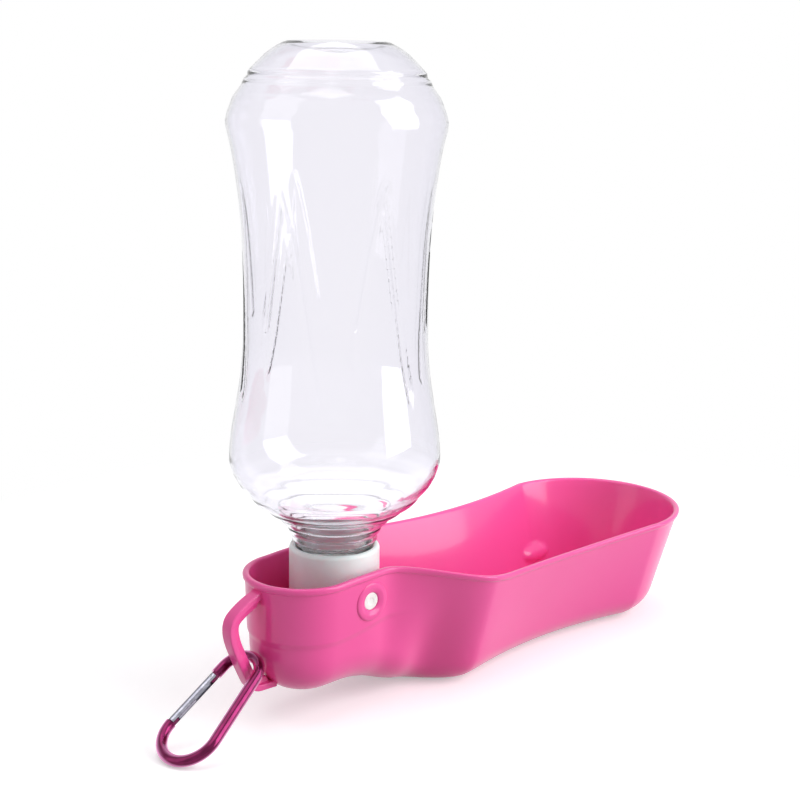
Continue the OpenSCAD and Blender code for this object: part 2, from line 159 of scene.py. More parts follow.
# Acetal pins, a cooler and glossier white
PIN_POM = Finish("pin_acetal", "#F4F3F1", "#ECEAE7", 3.0, (0.24, 0.32), 0.4, 0.002,
                 subsurface=0.1, depth=1.0)
# Pressed food-grade rubber of the washer: matt and off-white
WASHER_RUBBER = Finish("washer_rubber", "#EDEBE6", "#E3E0DA", 2.0, (0.6, 0.75), 0.3, 0.006,
                       subsurface=0.1)
# Moulded silicone of the slit valve: milky and half matt
VALVE_SILICONE = Finish("valve_silicone", "#F0F0EE", "#E8E8E4", 2.0, (0.45, 0.55), 0.3, 0.003,
                        subsurface=0.2, depth=1.5)
# Anodised aluminium rod, drawn along its length: dark where it faces you, and a painted sheen
# makes it bright at its sides
ANODISED = Finish("anodised_aluminium", "#681042", "#5A0C38", 3.0, (0.16, 0.24), 0.25, 0.002,
                  metallic=1.0, coat=0.25, edge="#E490C4")
# Turned aluminium of the gate: pale grey, with a painted dark reflection at its sides
GATE_METAL = Finish("gate_aluminium", "#A3A2AE", "#8E8D99", 1.5, (0.14, 0.22), 0.2, 0.002,
                    metallic=1.0, edge="#5E5F68")
# Drawn steel of the rivet and the spring wire: mid grey with a dull gloss
STEEL = Finish("drawn_steel", "#A9AAAE", "#8B8C90", 0.8, (0.25, 0.38), 0.15, 0.001, metallic=1.0)
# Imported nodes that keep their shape, and what they are made of
PACKED_LOOKS = (
    (("sealing_washer",), WASHER_RUBBER),
    (("slit_valve",), VALVE_SILICONE),
    (("carabiner_body",), ANODISED),
    (("carabiner_gate",), GATE_METAL),
    (("gate_rivet", "gate_spring"), STEEL),
)


@dataclass(frozen=True)
class ClearFinish:
    """How the bottle's clear plastic looks.

    Attributes:
        name: name of the Blender material.
        plain: sRGB hex code at the neck, below where the painted shade comes in.
        painted_edge_shades: painted grey shade by how far it is turned away, as pairs of that and
            the hex code there.
        painted_shade_rise: heights in millimetres between which the painted shade comes in.
        flow: size of the surface's slow waves in millimetres.
        stretch: how much longer they are along each axis.
        relief: their height in millimetres.
        roughness: roughness of the surface.
        ior: index of refraction.
    """

    name: str
    plain: str
    painted_edge_shades: tuple[tuple[float, str], ...]
    painted_shade_rise: Pair
    flow: float
    stretch: Triple
    relief: float
    roughness: float
    ior: float


# Blow-moulded clear plastic: glassy, with slow waves, and painted grey shade where seen edge-on
# above the neck
CLEAR_PLASTIC = ClearFinish(
    "bottle_clear_plastic", "#F8F7FB",
    ((0.0, "#F8F7FB"), (0.45, "#F5F4F9"), (0.7, "#ECEBF2"), (0.92, "#D8D9E2"), (1.0, "#989AA8")),
    (56.0, 80.0), 9.0, (1.0, 1.0, 5.0), 0.012, 0.025, 1.4)


class Nodes:
    """The nodes of one material's or world's tree."""

    def __init__(self, tree: bpy.types.NodeTree) -> None:
        """Starts from an empty tree.

        Args:
            tree: the tree to fill.
        """
        self.tree = tree
        tree.nodes.clear()

    def add(self, kind: str, inputs: dict[str | int, object] | None = None,
            stops: Iterable[tuple[float, Sequence[float]]] = (), **settings: object,
            ) -> bpy.types.NodeOutputs:
        """Adds a node with its settings, its inputs' values and the links into it.

        Args:
            kind: Blender's node type.
            inputs: what each input takes, by name or number: a value, or a socket to link.
            stops: pairs of place and linear colour, for a colour ramp.
            **settings: attributes of the node, set by name.

        Returns:
            The new node's outputs.
        """
        node = self.tree.nodes.new(kind)
        for key, value in settings.items():
            setattr(node, key, value)
        for i, (place, colour) in enumerate(stops):
            # a new ramp has two points already
            points = node.color_ramp.elements
            point = points[i] if i < 2 else points.new(place)
            point.position, point.color = place, colour
        for key, value in (inputs or {}).items():
            if isinstance(value, bpy.types.NodeSocket):
                self.tree.links.new(value, node.inputs[key])
            else:
                node.inputs[key].default_value = value
        return node.outputs

    def pattern(self, size: float, detail: float, stretch: Triple = (1.0, 1.0, 1.0)) -> Socket:
        """Works out a noise of a real size in the piece's own coordinates.

        Args:
            size: size of its features in millimetres.
            detail: number of finer layers.
            stretch: how much longer the features are along X, Y and Z.

        Returns:
            The socket with the noise, about 0.3 to 0.7.
        """
        place = self.add("ShaderNodeTexCoord")["Object"]
        place = self.add("ShaderNodeMapping", {
            "Vector": place, "Scale": [1.0 / k for k in stretch]})["Vector"]
        return self.add("ShaderNodeTexNoise", {
            "Vector": place, "Scale": 1.0 / (size * MM), "Detail": detail})["Fac"]


def solid_material(finish: Finish) -> Material:
    """Builds an opaque material: a mottled colour, a grain in gloss and relief, a metal's painted
    reflection at its sides.

    Args:
        finish: how the material looks.

    Returns:
        The material.
    """
    material = bpy.data.materials.new(finish.name)
    material.use_nodes = True
    nodes = Nodes(material.node_tree)
    mottle = nodes.pattern(finish.mottle, detail=3.0)
    grain = nodes.pattern(finish.grain, detail=2.0)
    colour = nodes.add("ShaderNodeValToRGB", {"Fac": mottle}, stops=zip(
        MOTTLE_SPAN, (linear(finish.shade), linear(finish.colour))))["Color"]
    # painted reflection: a metal's colour turns to its edge colour where it is turned away,
    # standing in for the light and dark surroundings it would reflect
    if finish.edge:
        facing = nodes.add("ShaderNodeLayerWeight", {"Blend": 0.5})["Facing"]
        painted_reflection = nodes.add("ShaderNodeValToRGB", {"Fac": facing},
                          stops=zip(PAINTED_REFLECTION_SPAN, (BLACK, WHITE)))["Color"]
        colour = nodes.add("ShaderNodeMix", {
            "A": colour, "B": linear(finish.edge), "Factor": painted_reflection}, data_type="RGBA")["Result"]
    smooth, rough = finish.roughness
    surface = {
        "Base Color": colour,
        "Roughness": nodes.add("ShaderNodeMapRange", {
            "Value": grain, "From Min": NOISE_SPAN[0], "From Max": NOISE_SPAN[1],
            "To Min": smooth, "To Max": rough})["Result"],
        "Metallic": finish.metallic,
        "Subsurface Weight": finish.subsurface,
        "Subsurface Radius": LIGHT_TRAVEL,
        "Subsurface Scale": finish.depth * MM,
        "Specular IOR Level": finish.shine,
        "Coat Weight": finish.coat,
        "Coat Roughness": COAT_ROUGHNESS,
    }
    if finish.relief:
        surface["Normal"] = nodes.add("ShaderNodeBump", {
            "Height": grain, "Distance": finish.relief * MM})["Normal"]
    shader = nodes.add("ShaderNodeBsdfPrincipled", surface)["BSDF"]
    nodes.add("ShaderNodeOutputMaterial", {"Surface": shader})
    return material


def clear_material(finish: ClearFinish) -> Material:
    """Builds a clear material: painted grey shade by how far it is turned away, fading in above
    the neck, with slow waves.

    Args:
        finish: how the material looks.

    Returns:
        The material.
    """
    material = bpy.data.materials.new(finish.name)
    material.use_nodes = True
    nodes = Nodes(material.node_tree)
    place = nodes.add("ShaderNodeTexCoord")["Object"]
    height = nodes.add("ShaderNodeSeparateXYZ", {"Vector": place})["Z"]
    low, high = finish.painted_shade_rise
    share = nodes.add("ShaderNodeMapRange", {
        "Value": height, "From Min": low * MM, "From Max": high * MM})["Result"]
    # painted shade: grey laid on where the plastic is seen edge-on, standing in for the dark
    # edges that its bending of light would show
    facing = nodes.add("ShaderNodeLayerWeight", {"Blend": 0.5})["Facing"]
    painted_shade = nodes.add("ShaderNodeValToRGB", {"Fac": facing}, stops=[
        (at, linear(code)) for at, code in finish.painted_edge_shades])["Color"]
    colour = nodes.add("ShaderNodeMix", {
        "A": linear(finish.plain), "B": painted_shade, "Factor": share}, data_type="RGBA")["Result"]
    waves = nodes.pattern(finish.flow, detail=1.0, stretch=finish.stretch)
    normal = nodes.add("ShaderNodeBump", {
        "Height": waves, "Distance": finish.relief * MM})["Normal"]
    shader = nodes.add("ShaderNodeBsdfPrincipled", {
        "Base Color": colour, "Normal": normal, "Roughness": finish.roughness,
        "IOR": finish.ior, "Transmission Weight": 1.0})["BSDF"]
    nodes.add("ShaderNodeOutputMaterial", {"Surface": shader})
    return material


# ---- Meshes ----

CORNER_SHARE = 0.45  # a rounding takes at most this share of each side


def quads(rows: int, cols: int, close_rows: bool = False, close_cols: bool = False,
          start: int = 0) -> Array:
    """Lists the quads of a grid of points: each point with its next in the row and the row after.

    Args:
        rows: number of rows.
        cols: number of points in each row.
        close_rows: whether the last row joins the first.
        close_cols: whether the last column joins the first.
        start: index of the grid's first point.

    Returns:
        An array of four indices per face.
    """
    r, c = np.meshgrid(np.arange(rows - (not close_rows)),
                       np.arange(cols - (not close_cols)), indexing="ij")
    r1, c1 = (r + 1) % rows, (c + 1) % cols
    faces = np.stack([r * cols + c, r * cols + c1, r1 * cols + c1, r1 * cols + c], axis=-1)
    return faces.reshape(-1, 4) + start


def add_object(name: str, data: bpy.types.ID) -> bpy.types.Object:
    """Makes an object and links it to the scene.

    Args:
        name: the object's name.
        data: its mesh, lamp or camera.

    Returns:
        The object.
    """
    piece = bpy.data.objects.new(name, data)
    bpy.context.scene.collection.objects.link(piece)
    return piece


def clean_mesh(name: str, points: Array, faces: Faces,
               ) -> bpy.types.Mesh:
    """Makes a mesh in metres with its doubled points joined and its faces turned outwards.

    Args:
        name: the mesh's name.
        points: points in millimetres, one row each.
        faces: indices of each face's points.

    Returns:
        The mesh.
    """
    mesh = bpy.data.meshes.new(name)
    lists = faces.tolist() if isinstance(faces, np.ndarray) else [list(f) for f in faces]
    mesh.from_pydata((points * MM).tolist(), [], lists)
    work = bmesh.new()
    work.from_mesh(mesh)
    bmesh.ops.remove_doubles(work, verts=work.verts, dist=WELD)
    bmesh.ops.recalc_face_normals(work, faces=work.faces)
    work.to_mesh(mesh)
    work.free()
    return mesh


def make_object(name: str, points: Array, faces: Faces, body: Body,
                slot: Slot, material: Material, sharp: float = 40.0,
                ) -> bpy.types.Object:
    """Makes an object from points and faces and lets it ride on its body.

    Args:
        name: the object's name.
        points: points in millimetres, one row each.
        faces: indices of each face's points.
        body: the body that carries it.
        slot: not used.
        material: its material.
        sharp: edges sharper than this angle in degrees stay sharp.

    Returns:
        The object, linked to the scene.
    """
    mesh = clean_mesh(name, points, faces)
    mesh.shade_smooth()
    mesh.set_sharp_from_angle(angle=math.radians(sharp))
    mesh.materials.append(material)
    piece = add_object(name, mesh)
    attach(piece, body.value)
    LOG.info("%s rides on %s with %d faces", name, body.value, len(mesh.polygons))
    return piece


def lathe(profile: Array, steps: int, centre: Sequence[float], axis: str = "z",
          closed: bool = False) -> tuple[Array, Array]:
    """Turns a profile about an axis.

    A point at radius r and height h becomes r cos a, r sin a and h, for each angle a of a turn.

    Args:
        profile: rows of radius and height along the axis.
        steps: number of steps round the axis.
        centre: where the axis and height zero are.
        axis: 'z', or 'y' or '-y' for a profile along the fold axis.
        closed: whether the last profile point joins the first.

    Returns:
        Points and quads.
    """
    angle = np.linspace(0, 2 * np.pi, steps, endpoint=False)
    r, h = profile[:, 0][:, None], profile[:, 1][:, None] * np.ones(steps)
    u, v = r * np.cos(angle), r * np.sin(angle)
    sides = {"z": (u, v, h), "y": (u, h, -v), "-y": (u, -h, v)}[axis]
    points = np.stack(sides, axis=-1).reshape(-1, 3) + np.asarray(centre, dtype=float)
    return points, quads(len(profile), steps, close_rows=closed, close_cols=True)


def rounded(corners: Sequence[Pair], radius: float, steps: int = 4,
            closed: bool = True) -> Array:
    """Rounds the corners of a polygon.

    Each corner becomes a curve whose two ends lie on the corner's sides. A share t along, it is
    the sum of the first end times (1 - t) squared, the corner times 2 t (1 - t) and the second
    end times t squared.

    Args:
        corners: the polygon's corners.
        radius: how far each rounding starts from its corner.
        steps: points per rounding, less one.
        closed: whether the polygon is closed; an open one keeps its two ends.

    Returns:
        The rounded outline.
    """
    p = np.asarray(corners, dtype=float)
    before, after = np.roll(p, 1, axis=0), np.roll(p, -1, axis=0)

    def toward(neighbour: Array) -> Array:
        """Finds where each corner's rounding ends on the way to a neighbour.

        Args:
            neighbour: the corner before or after each corner.

        Returns:
            The point that is the rounding's radius away, but short of half the side.
        """
        step = neighbour - p
        size = np.linalg.norm(step, axis=1, keepdims=True)
        return p + step / size * np.minimum(radius, CORNER_SHARE * size)

    a, b = toward(before), toward(after)
    if not closed:
        a[[0, -1]], b[[0, -1]] = p[[0, -1]], p[[0, -1]]
    t = np.linspace(0, 1, steps + 1)[None, :, None]
    arc = (1 - t) ** 2 * a[:, None] + 2 * t * (1 - t) * p[:, None] + t**2 * b[:, None]
    return arc.reshape(-1, 2)


def ease(t: Array | float) -> Array:
    """Turns a straight rise t from 0 to 1 into the smooth one 3 t squared less 2 t cubed."""
    c = np.clip(t, 0.0, 1.0)
    return c * c * (3 - 2 * c)


def hill(t: Array) -> Array:
    """Gives a smooth hill, e to the power of minus t squared: one at zero, gone by two."""
    return np.exp(-(t**2))


def mix(a: Array | float, b: Array | float, t: Array | float) -> Array:
    """Blends a into b by t."""
    return a + (b - a) * t


def smooth_curve(knots: Sequence[Pair], at: Array) -> Array:
    """Interpolates without overshoot between knots.

    Between two knots it is the cubic that has their values and slopes; a knot's slope is the
    harmonic mean of the two sides' slopes, or zero where the curve turns back.

    Args:
        knots: pairs of place and value, in rising place.
        at: places to read.

    Returns:
        The value at each place.
    """
    x, y = np.asarray(knots, dtype=float).T
    h, d = np.diff(x), np.diff(y) / np.diff(x)
    slope = np.zeros_like(y)
    inner = d[:-1] * d[1:] > 0
    both = np.where(inner, d[:-1] + d[1:], 1.0)
    slope[1:-1] = np.where(inner, 2 * d[:-1] * d[1:] / both, 0.0)
    slope[0], slope[-1] = d[0], d[-1]
    i = np.clip(np.searchsorted(x, at) - 1, 0, len(h) - 1)
    t = (at - x[i]) / h[i]
    return ((2 * t**3 - 3 * t**2 + 1) * y[i] + (t**3 - 2 * t**2 + t) * h[i] * slope[i]
            + (3 * t**2 - 2 * t**3) * y[i + 1] + (t**3 - t**2) * h[i] * slope[i + 1])


@dataclass(frozen=True)
class Layout:
    """Sizes that several pieces share, in millimetres.

    Attributes:
        foot_offset: distance from the fold axis to the frame's origin, along the trough.
        pivot_z: height of the fold axis over the table.
        pin_r: radius of the pivot pins.
        boss_face: distance of the bosses' faces from the middle plane.
    """

    foot_offset: float = 90.0
    pivot_z: float = 41.3
    pin_r: float = 3.05
    boss_face: float = 19.736

    @property
    def pivot(self) -> Triple:
        """Middle of the fold axis."""
        return (-self.foot_offset, 0.0, self.pivot_z)


LAYOUT = Layout()


# ---- Trough ----


@dataclass(frozen=True)
class Trough:
    """The moulded trough with its neck, ramp, bowl, rim bead, loop, bosses and foot.

    Places along it are counted from the fold axis towards the bowl. A name in _start, _past or
    _at is where something begins or lies, and _run is how far it takes.
    """

    bowl_reach: float = 177.0
    bowl_end_start: float = 138.0
    bowl_half: float = 37.8
    waist_draw: float = 3.2
    neck_reach: float = 34.6
    neck_half: float = 20.3
    flare_start: float = 6.0
    flare_end: float = 44.0
    pinch_in: float = 0.8
    pinch_past: float = 4.0
    pinch_run: float = 7.0
    neck_rim_z: float = 51.6
    neck_dip: float = 3.4
    neck_dip_start: float = 3.0
    bowl_rim_z: float = 44.2
    bowl_dip: float = 1.4
    rim_fall_start: float = 4.0
    rim_fall_run: float = 49.0
    neck_floor_z: float = 10.0
    wall: float = 1.6
    floor: float = 1.8
    neck_draft: float = 2.0
    bowl_draft: float = 15.0
    flare_lean: float = 10.9
    flare_lean_at: float = 27.6
    flare_lean_run: float = 10.3
    waist_lean: float = 4.7
    neck_fillet: float = 15.0
    bowl_fillet: float = 14.0
    bead_out: float = 0.7
    ledge_z: float = 30.0
    ledge_climb: float = 3.5
    ledge_climb_start: float = -16.0
    ledge_climb_run: float = 32.0
    ledge_in: float = 0.6
    ledge_half: float = 1.4
    ledge_fade_start: float = 6.0
    ledge_fade_run: float = 16.0
    foot_half: float = 8.0
    foot_gap: float = 1.0
    foot_past: float = 8.0
    foot_skin: float = 0.4
    ramp_start: float = -6.0
    ramp_end: float = 34.0
    bump_z: float = 15.3
    bump_past: float = 2.0
    bump_half_length: float = 9.5
    bump_half_height: float = 3.4
    bump_out: float = 2.9
    strap_w: float = 4.8
    strap_t: float = 2.4
    strap_round: float = 0.55
    rib_w: float = 2.4
    rib_t: float = 2.1
    rib_fillet: float = 0.2
    hole_gap: float = 0.05
    hole_cut_r: float = 4.6
    hole_cut_half: float = 30.0
    boss_root: float = 17.0

    boss_wall: float = 0.8
    boss_inner_r: float = 5.6
    hole_edge_out: float = 0.9
    hole_edge_down: float = 0.5
    hole_edge_top: float = 0.1

    # Rows of points in the neck's end, the side and the bowl's end
    outline_rows: tuple[int, int, int] = (40, 100, 52)
    fillet_rows: int = 13
    ledge_rows: int = 9
    floor_rows: int = 9
    loop_rows: int = 12
    foot_rows: int = 33
    # Bead's section: distance beyond the rim's edge and height over the rim
    bead: Table = (
        (-0.70, -2.60), (-0.67, -2.42), (-0.46, -2.22), (-0.16, -2.00), (-0.03, -1.76),
        (0.00, -1.48), (0.00, -0.98), (-0.06, -0.62), (-0.22, -0.30), (-0.50, -0.09),
        (-0.85, 0.00), (-1.38, 0.00), (-1.82, -0.07), (-2.12, -0.26), (-2.28, -0.60),
        (-2.31, -1.10))
    # Heights of the wall's last row under the rim, and of the rows beside the ledge
    bead_root: float = 2.9
    ledge_beside: float = 1.8
    ledge_across: float = 1.5
    # Loop's guide points: place against the neck's end, and height over its rim or floor
    loop_top: Table = ((1.6, -4.6), (-4.9, -6.9), (-12.8, -13.2))
    loop_base: Table = (
        (-5.0, 9.9), (-2.0, 4.4), (4.6, 4.2), (7.2, 4.1))
    # Foot's section: share of its width and height
    foot_section: Table = (
        (0.0, 0.0), (0.9, 0.0), (0.985, 0.0), (1.0, 0.12), (1.0, 0.9))
    # Boss's ring: radius and height over its face
    boss_ring: Table = ((5.0, 0.2), (6.5, 0.0), (7.0, -0.9))

    def flare(self, s: Array) -> Array:
        """Share of the way from neck to bowl at distance s from the fold axis."""
        return ease((s - self.flare_start) / (self.flare_end - self.flare_start))

    def sag(self, s: Array) -> Array:
        """One at the middle of the bowl, falling to zero at its ends."""
        middle = (self.flare_end + self.bowl_end_start) / 2
        return np.maximum(0, 1 - ((s - middle) / (self.bowl_end_start - middle)) ** 2)

    def half(self, s: Array) -> Array:
        """Half width of the rim: the neck's, pinched at the flare, blended to the bowl's.

        Args:
            s: places along the trough.

        Returns:
            The half widths.
        """
        pinch = hill((s - self.flare_start - self.pinch_past) / self.pinch_run)
        neck = self.neck_half - self.pinch_in * pinch
        return mix(neck, self.bowl_half - self.waist_draw * self.sag(s), self.flare(s))

    def rim(self, s: Array) -> Array:
        """Height of the rim: it dips by the square behind the axis, then falls to the bowl's.

        Args:
            s: places along the trough.

        Returns:
            The heights.
        """
        back = np.minimum(0, s - self.neck_dip_start) / (self.neck_reach + self.neck_dip_start)
        neck = self.neck_rim_z - self.neck_dip * back**2
        bowl = self.bowl_rim_z - self.bowl_dip * self.sag(s)
        return mix(neck, bowl, ease((s - self.rim_fall_start) / self.rim_fall_run))

    def low(self, s: Array) -> Array:
        """Height of the underside."""
        ramp = ease((s - self.ramp_start) / (self.ramp_end - self.ramp_start))
        return mix(self.neck_floor_z, self.foot_skin, ramp)

    def draft(self, s: Array) -> Array:
        """Lean of the side wall: neck's to bowl's, and more along the waist and at the flare.

        Args:
            s: places along the trough.

        Returns:
            The angles from upright, in radians.
        """
        lean = self.flare_lean * hill((s - self.flare_lean_at) / self.flare_lean_run)
        return np.radians(mix(self.neck_draft, self.bowl_draft, self.flare(s))
                          + self.waist_lean * self.sag(s) + lean)

    def ledge(self, s: Array) -> Array:
        """Height of the crease along the neck's wall, which climbs towards the flare."""
        climb = ease((s - self.ledge_climb_start) / self.ledge_climb_run)
        return self.ledge_z + self.ledge_climb * climb

    def outline(self) -> tuple[Array, Array, Array]:
        """Lays out the rim of the +Y side from the neck's end to the bowl's end.

        The neck's end is a quarter circle, the side follows half(), and the bowl's end is a
        quarter of an ellipse. Every point of an end aims at the end's centre.

        Returns:
            Distance from the fold axis, half width, and the spine point each section aims at.
        """
        end_rows, side_rows, tip_rows = self.outline_rows
        round_s = self.neck_half - self.neck_reach
        a = np.radians(np.linspace(180, 90, end_rows, endpoint=False))
        end = (round_s + self.neck_half * np.cos(a), self.neck_half * np.sin(a),
               np.full(end_rows, round_s))
        s = np.linspace(round_s, self.bowl_end_start, side_rows, endpoint=False)
        side = (s, self.half(s), s)
        b = np.radians(np.linspace(90, 0, tip_rows))
        tip = (self.bowl_end_start + (self.bowl_reach - self.bowl_end_start) * np.cos(b),
               self.bowl_half * np.sin(b), np.full(tip_rows, self.bowl_end_start))
        s_all, y_all, spine = (np.concatenate(q) for q in zip(end, side, tip))
        return s_all, y_all, spine

    def skin(self, spine: Array, reach: Array, z: Array, inset: float) -> Array:
        """Distance of the straight wall from the spine at height z.

        It is the rim's reach, less the bead, the wall's thickness over the cosine of the lean,
        the step under the neck's ledge, and the depth under the rim times the lean's tangent.

        Args:
            spine: the section's place along the trough.
            reach: distance of the rim's outer edge from the spine.
            z: heights.
            inset: how far inside the outer surface, square to the wall.

        Returns:
            The distance.
        """
        d = self.draft(spine)
        held = 1 - ease((spine - self.ledge_fade_start) / self.ledge_fade_run)
        below = ease((self.ledge(spine) + self.ledge_half - z) / (2 * self.ledge_half))
        ledge = self.ledge_in * held * below
        return (reach - self.bead_out - inset / np.cos(d) - ledge
                - (self.rim(spine) - z) * np.tan(d))

    def column(self, spine: Array, reach: Array, inset: float, raised: float, rows: int,
               ) -> tuple[Array, Array]:
        """Builds the floor rounding and the wall of each section, from the floor's edge up.

        The rounding is an arc that starts level and ends along the leaning wall.

        Args:
            spine: place of each section.
            reach: reach of each section.
            inset: wall thickness to stay inside by, or zero for the outside.
            raised: floor thickness to stay above by, or zero for the outside.
            rows: rows between floor rounding and ledge.

        Returns:
            Distances from the spine and heights, one row of values per step up.
        """
        d = self.draft(spine)
        r = mix(self.neck_fillet, self.bowl_fillet, self.flare(spine)) - inset
        low = self.low(spine) + raised
        z0 = low + r - r * np.sin(d)
        foot = self.skin(spine, reach, z0, inset) - r * np.cos(d)
        t = np.linspace(0, 1, self.fillet_rows)[:, None]
        a = -np.pi / 2 + (np.pi / 2 - d) * t
        reaches, heights = [foot + r * np.cos(a)], [low + r + r * np.sin(a)]
        crease, top = self.ledge(spine), self.rim(spine) - self.bead_root
        below = np.linspace(0, 1, rows + 1)[1:, None]
        across = np.linspace(-self.ledge_across, self.ledge_across, self.ledge_rows)[:, None]
        above = np.linspace(0, 1, self.ledge_rows)[:, None]
        for z in (mix(z0, crease - self.ledge_beside, below), crease + across,
                  mix(crease + self.ledge_beside, top, above)):
            reaches.append(self.skin(spine, reach, z, inset))
            heights.append(z)
        return np.vstack(reaches), np.vstack(heights)

    def shell(self) -> tuple[Array, Array]:
        """Builds the trough's thin shell with its rim bead, floor and side bumps.

        A section is the outer wall, the bead over the rim and the inner wall. Each of its points
        lies on the line from the spine to the rim, at the section's distance. A bump pushes the
        inner wall in by the square root of one less its squared place and height.

        Returns:
            Points and quads.
        """
        s, y, spine = self.outline()
        reach = np.hypot(s - spine, y)
        d = self.draft(spine)
        outer_r, outer_z = self.column(spine, reach, 0.0, 0.0, rows=8)
        inner_r, inner_z = self.column(spine, reach, self.wall, self.floor, rows=18)
        bump = (1 - ((s - self.bowl_end_start - self.bump_past) / self.bump_half_length) ** 2
                - ((inner_z - self.bump_z) / self.bump_half_height) ** 2)
        inner_r = inner_r - self.bump_out * np.maximum(0, bump) ** 0.5
        bead = np.array(self.bead)
        rim_r = reach + bead[:, :1] + bead[:, 1:] * np.tan(d)
        rim_z = self.rim(spine) + bead[:, 1:]
        r = np.vstack([outer_r, rim_r, inner_r[::-1]])
        z = np.vstack([outer_z, rim_z, inner_z[::-1]])
        share = r / reach
        half = np.stack([spine + (s - spine) * share - LAYOUT.foot_offset, y * share, z], axis=-1)
        other = half[:, -2:0:-1] * np.array([1, -1, 1])
        grid = np.concatenate([half, other], axis=1)
        rows, cols = grid.shape[:2]
        points, faces = [grid.reshape(-1, 3)], [quads(rows, cols, close_cols=True)]
        # strips that close the floor from side to side, outside and inside
        across = np.linspace(0, 1, self.floor_rows)[None, :, None]
        start = rows * cols
        for edge in (half[0], half[-1]):
            strip = mix(edge[:, None], (edge * np.array([1, -1, 1]))[:, None], across)
            points.append(strip.reshape(-1, 3))
            faces.append(quads(*strip.shape[:2], start=start))
            start += strip.shape[0] * strip.shape[1]
        return np.concatenate(points), np.concatenate(faces)

    def loop(self) -> tuple[Array, list[list[int]]]:
        """Builds the carry loop: a flat strap with a rib along its inside.

        The strap's section is carried along a line of joined curves, each from one middle of two
        guide points to the next, bent towards the guide point between them.

        Returns:
            Points and faces.
        """
        guide = np.concatenate([np.array(self.loop_top) + (-self.neck_reach, self.neck_rim_z),
                                np.array(self.loop_base) + (-self.neck_reach, self.neck_floor_z)])
        knots = np.concatenate([guide[:1], (guide[1:-2] + guide[2:-1]) / 2, guide[-1:]])
        t = np.linspace(0, 1, self.loop_rows, endpoint=False)[None, :, None]
        line = ((1 - t) ** 2 * knots[:-1, None] + 2 * t * (1 - t) * guide[1:-1, None]
                + t**2 * knots[1:, None]).reshape(-1, 2)
        line = np.concatenate([line, guide[-1:]])
        along = np.gradient(line, axis=0)
        along /= np.linalg.norm(along, axis=1, keepdims=True)
        inward = np.stack([-along[:, 1], along[:, 0]], axis=-1)
        half, side, crest = self.strap_t / 2, self.strap_w / 2, self.strap_t / 2 + self.rib_t
        rib = self.rib_w / 2
        root = rib + self.rib_fillet
        section = rounded([(-half, -side), (-half, side), (half, side), (half, root),
                           (crest, rib), (crest, -rib), (half, -root), (half, -side)],
                          self.strap_round)
        # the rib sinks into the strap near the first row and before the last seven
        row = np.arange(len(line))
        rise = ease(np.minimum(row - 1, len(line) - 7 - row) / 2)
        depth = np.minimum(section[None, :, :1], mix(half, crest, rise)[:, None, None])
        flat = line[:, None] + inward[:, None] * depth
        points = np.stack([flat[..., 0] - LAYOUT.foot_offset,
                           section[None, :, 1] * np.ones((len(line), 1)), flat[..., 1]], axis=-1)
        ends = [list(range(len(section))), list(range(points[:-1].size // 3, points.size // 3))]
        faces = quads(len(line), len(section), close_cols=True).tolist() + ends
        return points.reshape(-1, 3), faces

    def foot(self) -> tuple[Array, Array]:
        """Builds the flat pad that the bowl stands on.

        Its outline is two half circles and the sides between them; each row is the outline drawn
        in towards the pad's middle line by a share.

        Returns:
            Points and quads.
        """
        start = self.ramp_end + self.foot_half + self.foot_gap - LAYOUT.foot_offset
        stop = self.bowl_end_start + self.foot_past - LAYOUT.foot_offset
        count = self.foot_rows
        a = np.radians(np.linspace(90, 270, count))
        across, side = self.foot_half * np.cos(a), self.foot_half * np.sin(a)
        x = np.concatenate([start + across, stop - across])
        y = np.concatenate([side, -side])
        middle = np.repeat([start, stop], count)
        rows = [np.stack([mix(middle, x, share), y * share, np.full(2 * count, z)], axis=-1)
                for share, z in self.foot_section]
        return np.concatenate(rows), quads(len(rows), 2 * count, close_cols=True)

    def boss(self, axis: str) -> tuple[Array, Array]:
        """Builds the raised ring round one pin hole, a turned section.

        Args:
            axis: 'y' for the left side or '-y' for the right.

        Returns:
            Points and quads.
        """
        hole, face, root = LAYOUT.pin_r + self.hole_gap, LAYOUT.boss_face, self.boss_root
        corners = [(self.boss_inner_r, root), (hole, root), (hole, face - self.hole_edge_down),
                   (hole + self.hole_edge_out, face - self.hole_edge_top)]
        corners += [(r, face + h) for r, h in self.boss_ring]
        corners.append((self.boss_ring[-1][0], root + self.boss_wall))
        profile = rounded(corners, radius=0.4, closed=False)
        return lathe(profile, steps=96, centre=LAYOUT.pivot, axis=axis, closed=True)

    def build(self, material: Material) -> None:
        """Makes the trough's objects.

        Args:
            material: the trough's plastic.
        """
        shell = make_object("trough_shell", *self.shell(), Body.TROUGH, Slot.TROUGH, material,
                            sharp=50)
        r, h = self.hole_cut_r, self.hole_cut_half
        profile = np.array([(0.0, -h), (r, -h), (r, h), (0.0, h)])
        cut_through(shell, *lathe(profile, steps=48, centre=LAYOUT.pivot, axis="y"))
        make_object("carry_loop", *self.loop(), Body.TROUGH, Slot.TROUGH, material)
        make_object("trough_foot", *self.foot(), Body.TROUGH, Slot.TROUGH, material)
        for name, axis in (("pin_boss_left", "y"), ("pin_boss_right", "-y")):
            make_object(name, *self.boss(axis), Body.TROUGH, Slot.TROUGH, material)
        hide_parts("trough")


